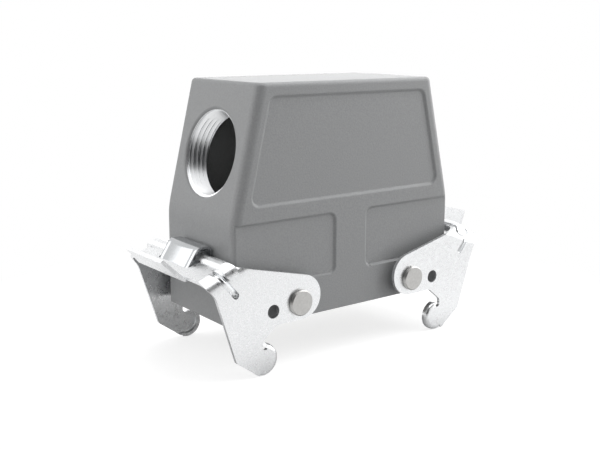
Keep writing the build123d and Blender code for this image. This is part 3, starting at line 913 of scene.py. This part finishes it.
class CONNECTOR_OT_fixings(bpy.types.Operator):
    """Set the four fixing screws and their spring washers"""

    bl_idname = "connector.fixings"
    bl_label = "Fixing screws and washers"

    def execute(self, context):
        low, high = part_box("fixing_screw_back_right")
        first_low, first_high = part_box("fixing_screw_front_left")
        spacing = (low + high) / 2 - (first_low + first_high) / 2
        head, height, shank, edge = 3.4 * MM, 2.6 * MM, 2.0 * MM, 0.3 * MM
        pitch, depth, plain_shank = 0.7 * MM, 0.35 * MM, 3.5 * MM
        thread = []
        z = low.z + height + plain_shank
        while z < high.z - pitch:
            thread += [(shank, z), (shank - depth, z + pitch / 2)]
            z += pitch
        profile = [
            (0, low.z), (head - edge, low.z), (head, low.z + edge), (head, low.z + height),
            (shank, low.z + height), *thread, (shank - depth, high.z), (0, high.z)]
        mesh = lathe(profile, 40)
        cut_slots(mesh, low.z, head, width=0.9 * MM, depth=1.1 * MM, crossed=True)
        screws = grid_of("fixing_screw_set", mesh, "screw", 2, 2, spacing.x, spacing.y)
        names = [f"{side}_{end}" for side in SIDES for end in ENDS]
        hand_over(screws, HOOD_BODY, "screw_steel", *["fixing_screw_" + n for n in names])
        washers = self.washers(spacing)
        hand_over(washers, HOOD_BODY, "screw_steel", *["spring_washer_" + n for n in names])
        return {"FINISHED"}

    def washers(self, spacing):
        """Split spring washers, each a bar coiled once with its two ends set apart."""
        low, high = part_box("spring_washer_back_right")
        outer, inner = (high.y - low.y) / 2, 2.25 * MM
        split = math.radians(9)
        steps = 40
        work = bmesh.new()
        sections = []
        for n in range(steps + 1):
            angle = split / 2 + (math.tau - split) * n / steps
            sections.append([
                work.verts.new((r * math.cos(angle), r * math.sin(angle), z))
                for r, z in ((inner, low.z), (outer, low.z), (outer, high.z), (inner, high.z))])
        for a, b in zip(sections, sections[1:]):
            for k in range(4):
                work.faces.new((a[k], b[k], b[(k + 1) % 4], a[(k + 1) % 4]))
        work.faces.new(sections[0])
        work.faces.new(sections[-1])
        mesh = close_work(work, bpy.data.meshes.new("washer"))
        return grid_of("spring_washer_set", mesh, "screw", 2, 2, spacing.x, spacing.y)


# The stage


def softbox(name, direction, width, height, power):
    """A rectangular area lamp that looks at the middle of the part from a direction."""
    distance = 0.9
    data = bpy.data.lights.new(name, "AREA")
    data.shape = "RECTANGLE"
    data.size = width
    data.size_y = height
    data.energy = power
    lamp = link_object(name, data)
    middle = (cad_low + cad_high) / 2
    lamp.location = middle + Vector(direction).normalized() * distance
    lamp.rotation_euler = (middle - lamp.location).to_track_quat("-Z", "Y").to_euler()


def seen_white(tree):
    """A socket that is 1 where a camera, glossy or transmission ray looks, and 0 elsewhere."""
    path = add_node(tree, "ShaderNodeLightPath")
    both = calculate(tree, "MAXIMUM", path.outputs["Is Camera Ray"], path.outputs["Is Glossy Ray"])
    return calculate(tree, "MAXIMUM", both, path.outputs["Is Transmission Ray"])


def paper_white(tree):
    """A socket that is full white for the camera, and a little less in whatever mirrors the room."""
    mirrored = 0.92
    path = add_node(tree, "ShaderNodeLightPath")
    return remap(tree, path.outputs["Is Camera Ray"], mirrored, 1.0)


def light_room(sky):
    """Even room light, and plain white wherever the background is seen."""
    world = bpy.data.worlds.new("room")
    bpy.context.scene.world = world
    world.use_nodes = True
    tree = world.node_tree
    strength = remap(tree, seen_white(tree), sky, paper_white(tree))
    background = tree.nodes["Background"]
    background.inputs["Color"].default_value = (1, 1, 1, 1)
    tree.links.new(strength, background.inputs["Strength"])


def floor_material(colour, brightness, mirrored, near, far):
    """Pale matte board that shows white, keeps the part's shadow, and is plain white farther off; in reflections
    its glow is lowered near the part as a painted shadow.
    """
    white, narrow = (1, 1, 1, 1), (0.5, 1, 1)
    painted_shadow_fade_from, painted_shadow_fade_to, mirrored_far = 0.4 * near, 0.7 * near, 0.7 * brightness
    material = bpy.data.materials.new("pale board")
    material.use_nodes = True
    tree = material.node_tree
    tree.nodes.clear()
    matte = add_node(tree, "ShaderNodeBsdfDiffuse", inputs={"Color": (*colour, 1)})
    path = add_node(tree, "ShaderNodeLightPath")
    place = add_node(tree, "ShaderNodeTexCoord")
    narrowed = add_node(tree, "ShaderNodeMapping", inputs={
        "Vector": place.outputs["Object"], "Scale": narrow})
    aside = add_node(tree, "ShaderNodeVectorMath", {"operation": "LENGTH"}, {0: narrowed.outputs["Vector"]})
    # Painted shadow: reflections see the floor's glow lowered near the part, in an oval that fades out from its
    # middle
    clear = remap(tree, aside.outputs["Value"], 0.0, 1.0, painted_shadow_fade_from, painted_shadow_fade_to)
    reflected_with_painted_shadow = remap(tree, clear, mirrored, mirrored_far)
    strength = remap(tree, path.outputs["Is Camera Ray"], reflected_with_painted_shadow, brightness)
    glow = add_node(tree, "ShaderNodeEmission", inputs={"Color": white, "Strength": strength})
    lit = add_node(tree, "ShaderNodeAddShader", inputs={0: matte.outputs[0], 1: glow.outputs[0]})
    plain = add_node(tree, "ShaderNodeEmission", inputs={"Color": white, "Strength": paper_white(tree)})
    distance = add_node(tree, "ShaderNodeVectorMath", {"operation": "LENGTH"}, {
        0: place.outputs["Object"]})
    away = remap(tree, distance.outputs["Value"], 0.0, 1.0, near, far)
    board = add_node(tree, "ShaderNodeMixShader", inputs={
        "Fac": away, 1: lit.outputs[0], 2: plain.outputs[0]})
    shown = add_node(tree, "ShaderNodeMixShader", inputs={
        "Fac": seen_white(tree), 1: matte.outputs[0], 2: board.outputs[0]})
    add_node(tree, "ShaderNodeOutputMaterial", inputs={"Surface": shown.outputs[0]})
    return material


def dark_card(name, direction, distance, size, flat=False):
    """A dark card seen only as a reflection; it faces the part from a direction, or lies flat below."""
    middle = (cad_low + cad_high) / 2
    outward = Vector(direction).normalized()
    centre = middle + outward * distance
    if flat:
        centre.z, outward = cad_low.z + MM, Vector((0, 0, 1))
    side = Vector((-direction[1], direction[0], 0)).normalized() * size / 2
    up = side.cross(outward)
    mesh = bpy.data.meshes.new(name)
    corners = [centre - side - up, centre + side - up, centre + side + up, centre - side + up]
    mesh.from_pydata(corners, [], [(0, 1, 2, 3)])
    mesh.materials.append(black_felt())
    card = link_object(name, mesh)
    card.visible_camera = False
    card.visible_diffuse = False
    card.visible_shadow = False
    card.visible_transmission = False


def black_felt():
    """Wool felt, near black and without gloss."""
    return new_material("black wool felt", linear("#1E1E20"), 0.0, 1.0)[0]


class CONNECTOR_OT_stage(bpy.types.Operator):
    """Set up the floor, the lamps and the camera"""

    bl_idname = "connector.stage"
    bl_label = "Stage"

    def execute(self, context):
        stage = settings("stage")
        reach = 40 * (cad_high - cad_low).length
        mesh = bpy.data.meshes.new("floor")
        corners = [(-reach, -reach, 0), (reach, -reach, 0), (reach, reach, 0), (-reach, reach, 0)]
        mesh.from_pydata(corners, [], [(0, 1, 2, 3)])
        floor = link_object("floor", mesh)
        mesh.materials.append(floor_material(
            tuple(stage.floor), stage.glow, stage.painted_shadow_glow, stage.plain_from, stage.plain_to))
        mesh.transform(Matrix.Translation((0, 0, cad_low.z)))
        softbox("end softbox", (-0.85, 0.5, 0.35), 1.05, 1.05, stage.end_power)
        softbox("side softbox", (0.88, -0.36, 0.45), 1.0, 1.0, stage.side_power)
        softbox("top softbox", (0.3, -0.05, 0.95), 1.3, 1.3, stage.top_power)
        softbox("back softbox", (0.594, 0.777, 0.19), 0.8, 0.28, stage.back_power)
        dark_card("dark card by the camera", (-0.62, -0.78, 0.3), stage.card_distance, stage.card_size)
        dark_card("dark card above", (0.3, -0.65, 0.6), 2 * stage.card_distance, stage.card_size)
        dark_card("dark card behind", (0.6, 0.78, 0), stage.card_distance, stage.card_size, flat=True)
        light_room(stage.sky)
        data = bpy.data.cameras.new("camera")
        data.lens = stage.lens
        data.sensor_width = 36.0
        data.clip_start = 0.01
        camera = link_object("camera", data)
        camera.location = stage.eye
        level = Matrix.Rotation(-stage.yaw, 4, "Z") @ Matrix.Rotation(math.pi / 2 - stage.pitch, 4, "X")
        camera.rotation_euler = (level @ Matrix.Rotation(stage.roll, 4, "Z")).to_euler()
        context.scene.camera = camera
        context.scene.view_settings.view_transform = "Standard"
        return {"FINISHED"}


class CONNECTOR_PT_parts(bpy.types.Panel):
    """The connector's pieces, in the order they are made"""

    bl_idname = "CONNECTOR_PT_parts"
    bl_label = "Rectangular connector"
    bl_space_type = "VIEW_3D"
    bl_region_type = "UI"
    bl_category = "Connector"

    def draw(self, context):
        for group in GROUPS:
            box = self.layout.box()
            box.label(text=group.capitalize())
            values = settings(group)
            for key in values.__annotations__:
                box.prop(values, key)
        for operator in OPERATORS:
            self.layout.operator(operator.bl_idname)


GROUPS = {
    "hood": HoodSettings, "entry": EntrySettings, "lever": LeverSettings, "insert": InsertSettings,
    "stage": StageSettings,
}
OPERATORS = (
    CONNECTOR_OT_hood, CONNECTOR_OT_entry, CONNECTOR_OT_levers, CONNECTOR_OT_springs,
    CONNECTOR_OT_pins, CONNECTOR_OT_insert, CONNECTOR_OT_contacts, CONNECTOR_OT_fixings,
    CONNECTOR_OT_stage,
)


def register():
    """Add the settings, the operators and the panel to Blender."""
    for group, kind in GROUPS.items():
        bpy.utils.register_class(kind)
        setattr(bpy.types.Scene, "connector_" + group, PointerProperty(type=kind))
    for kind in (*OPERATORS, CONNECTOR_PT_parts):
        bpy.utils.register_class(kind)


def unregister():
    """Take them out again."""
    for kind in (CONNECTOR_PT_parts, *reversed(OPERATORS)):
        bpy.utils.unregister_class(kind)
    for group, kind in reversed(GROUPS.items()):
        delattr(bpy.types.Scene, "connector_" + group)
        bpy.utils.unregister_class(kind)


def main():
    """Build every piece."""
    register()
    for operator in OPERATORS:
        area, name = operator.bl_idname.split(".")
        getattr(getattr(bpy.ops, area), name)()


if __name__ == "__main__":
    main()
